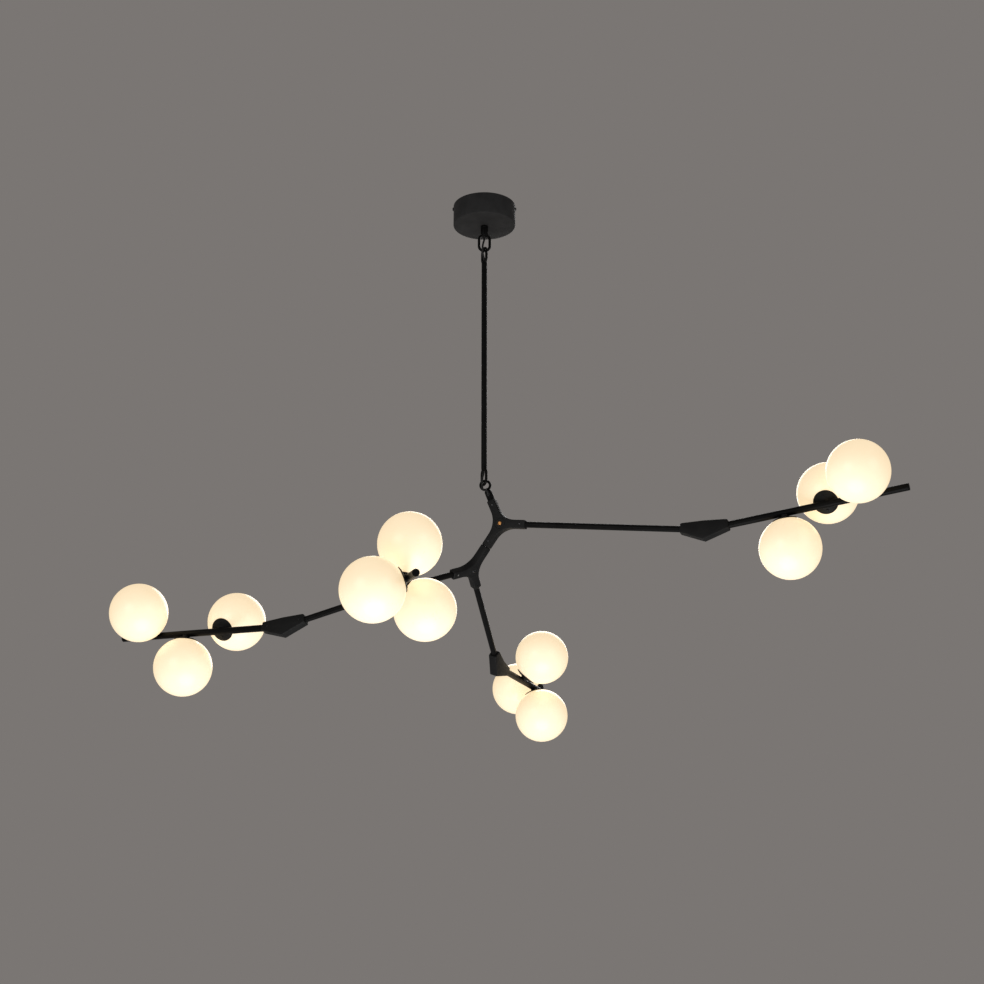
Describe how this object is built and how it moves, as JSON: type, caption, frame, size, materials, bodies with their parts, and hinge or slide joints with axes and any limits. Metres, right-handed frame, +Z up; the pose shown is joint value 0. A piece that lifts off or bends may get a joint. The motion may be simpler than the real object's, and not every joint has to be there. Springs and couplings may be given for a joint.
{
  "type": "branch chandelier",
  "caption": "Branching ceiling chandelier: a round canopy, a stem hung on open loops, forked tubes and angled bars with opal glass globes.",
  "frame": {"origin": "on the ceiling plane, at the middle of the two ceiling screw holes and of the canopy", "axes": "+Z up to the ceiling, -Y towards the side the picture was taken from, +X to its right; the long axis of the whole fixture is near X"},
  "size_m": [1.5703, 1.209, 1.0866],
  "materials": {
    "canopy_black": "satin",
    "tube_black": "satin",
    "cast_black": "matte",
    "zinc_steel": "satin",
    "screw_black": "satin",
    "screw_brass": "satin",
    "terminal_plastic": "matte",
    "cable_black": "matte",
    "holder_ceramic": "satin",
    "ring_plastic": "matte",
    "bulb_white": "gloss",
    "opal_glass": "gloss"
  },
  "bodies": {
    "canopy": {"canopy_cover": "canopy_black", "ceiling_bracket": "zinc_steel", "canopy_screws": "screw_black", "terminal_block": "terminal_plastic"},
    "hanger": {"hanger_post": "tube_black", "hanger_nut": "zinc_steel"},
    "stem": {"stem_tube": "tube_black", "stem_top_loop": "tube_black", "stem_foot_loop": "tube_black", "supply_cable": "cable_black"},
    "upper_frame": {"fork_eye": "tube_black", "upper_fork": "cast_black", "upper_fork_cover": "tube_black", "upper_fork_screws": "screw_brass", "fork_coupling": "zinc_steel"},
    "lower_frame": {"middle_fork": "cast_black", "middle_fork_cover": "tube_black", "middle_fork_screws": "screw_brass", "middle_tube": "tube_black"},
    "left_frame": {"left_fork": "cast_black", "left_fork_cover": "tube_black", "left_fork_screws": "screw_brass"},
    "right_arm": {"right_link_tube": "tube_black", "right_elbow": "cast_black", "right_elbow_screws": "screw_black"},
    "left_arm": {"left_link_tube": "tube_black", "left_elbow": "cast_black", "left_elbow_screws": "screw_black"},
    "bottom_arm": {"bottom_link_tube": "tube_black", "bottom_elbow": "cast_black", "bottom_elbow_screws": "screw_black"},
    "right_lamps": {"right_bar": "tube_black", "right_bar_cap": "tube_black", "right_cups": "tube_black", "right_lamp_holders": "holder_ceramic", "right_rings": "ring_plastic", "right_bulbs": "bulb_white", "right_globes": "opal_glass"},
    "left_lamps": {"left_bar": "tube_black", "left_bar_cap": "tube_black", "left_cups": "tube_black", "left_lamp_holders": "holder_ceramic", "left_rings": "ring_plastic", "left_bulbs": "bulb_white", "left_globes": "opal_glass"},
    "bottom_lamps": {"bottom_bar": "tube_black", "bottom_bar_cap": "tube_black", "bottom_cups": "tube_black", "bottom_lamp_holders": "holder_ceramic", "bottom_rings": "ring_plastic", "bottom_bulbs": "bulb_white", "bottom_globes": "opal_glass"},
    "front_lamps": {"front_bar": "tube_black", "front_bar_cap": "tube_black", "front_cups": "tube_black", "front_lamp_holders": "holder_ceramic", "front_rings": "ring_plastic", "front_bulbs": "bulb_white", "front_globes": "opal_glass"}
  },
  "joints": [
    {"name": "hanger_swivel", "type": "hinge", "parent": "canopy", "child": "hanger", "pos_m": [0, 0, -0.014], "axis": [0, 0, 1], "range_deg": [-90, 90]},
    {"name": "stem_swing", "type": "hinge", "parent": "hanger", "child": "stem", "pos_m": [0, 0, -0.1073], "axis": [1, 0, 0], "range_deg": [-12, 12]},
    {"name": "frame_swing", "type": "hinge", "parent": "stem", "child": "upper_frame", "pos_m": [0, 0, -0.6404], "axis": [-0.4226, 0.9063, 0], "range_deg": [-12, 12]},
    {"name": "right_arm_turn", "type": "hinge", "parent": "upper_frame", "child": "right_arm", "pos_m": [0.03559, -0.01001, -0.72862], "axis": [0.9032, -0.4031, -0.1476], "range_deg": [-90, 90]},
    {"name": "right_bar_turn", "type": "hinge", "parent": "right_arm", "child": "right_lamps", "pos_m": [0.43028, -0.18617, -0.79312], "axis": [0.922, -0.3735, 0.1023], "range_deg": [-120, 120]},
    {"name": "lower_frame_turn", "type": "hinge", "parent": "upper_frame", "child": "lower_frame", "pos_m": [0.03559, -0.01001, -0.72862], "axis": [-0.5495, 0.2954, -0.7815], "range_deg": [-20, 20]},
    {"name": "bottom_arm_turn", "type": "hinge", "parent": "lower_frame", "child": "bottom_arm", "pos_m": [-0.02595, 0.02307, -0.81615], "axis": [0.1629, 0.8946, -0.4161], "range_deg": [-90, 90]},
    {"name": "bottom_bar_turn", "type": "hinge", "parent": "bottom_arm", "child": "bottom_lamps", "pos_m": [0.0291, 0.32545, -0.95679], "axis": [0.3534, 0.9354, -0.0106], "range_deg": [-120, 120]},
    {"name": "left_frame_turn", "type": "hinge", "parent": "lower_frame", "child": "left_frame", "pos_m": [-0.02595, 0.02307, -0.81615], "axis": [-0.7123, -0.5992, -0.3654], "range_deg": [-20, 20]},
    {"name": "left_arm_turn", "type": "hinge", "parent": "left_frame", "child": "left_arm", "pos_m": [-0.19192, -0.11654, -0.9013], "axis": [-0.905, 0.3698, -0.2105], "range_deg": [-90, 90]},
    {"name": "left_bar_turn", "type": "hinge", "parent": "left_arm", "child": "left_lamps", "pos_m": [-0.39916, -0.03186, -0.9495], "axis": [-0.9022, 0.4299, 0.0346], "range_deg": [-120, 120]},
    {"name": "front_bar_turn", "type": "hinge", "parent": "left_frame", "child": "front_lamps", "pos_m": [-0.19192, -0.11654, -0.9013], "axis": [0.1926, -0.969, -0.155], "range_deg": [-120, 120]}
  ]
}
